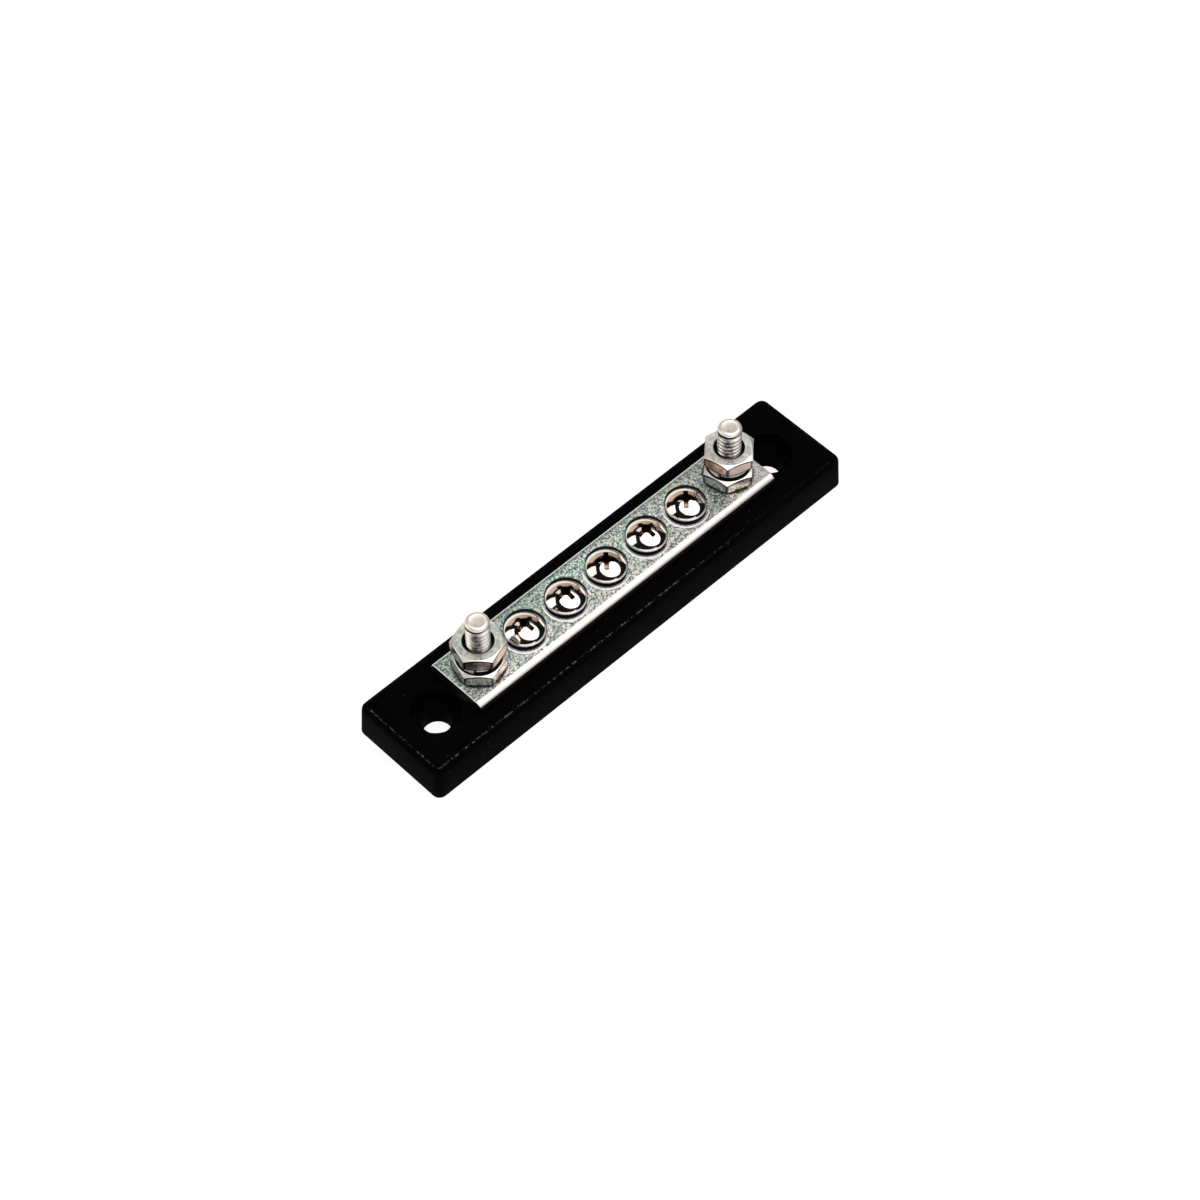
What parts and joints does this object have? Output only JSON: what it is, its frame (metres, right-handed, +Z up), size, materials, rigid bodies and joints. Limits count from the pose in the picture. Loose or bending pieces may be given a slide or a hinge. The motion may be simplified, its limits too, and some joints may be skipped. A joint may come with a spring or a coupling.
{
  "type": "bus bar",
  "caption": "Bus bar for common wiring: a flat tinned bar on a black moulded base, with a row of cross-recess terminal screws, nutted studs near the ends and recessed mounting holes.",
  "frame": {"origin": "middle of the base's underside", "axes": "+X along the base, +Y across it, +Z up out of the bar along the studs"},
  "size_m": [0.11, 0.023, 0.0258],
  "materials": {
    "base_plastic": "black, fine moulded texture",
    "tinned_bar": "tinned, fine spangle, semi-gloss",
    "screw_plating": "bright plated",
    "stud_metal": "rolled thread, satin",
    "nut_metal": "satin faces, bright chamfers",
    "washer_metal": "spring steel, plated"
  },
  "bodies": {
    "root": {"base": "base_plastic", "bus_plate": "tinned_bar", "terminal_screw_1": "screw_plating", "terminal_screw_2": "screw_plating", "terminal_screw_3": "screw_plating", "terminal_screw_4": "screw_plating", "terminal_screw_5": "screw_plating", "stud_bolt_1": "stud_metal", "stud_bolt_2": "stud_metal", "clamp_nut_1": "nut_metal", "clamp_nut_2": "nut_metal", "lock_washer_1": "washer_metal", "lock_washer_2": "washer_metal", "terminal_nut_1": "nut_metal", "terminal_nut_2": "nut_metal"}
  },
  "joints": []
}
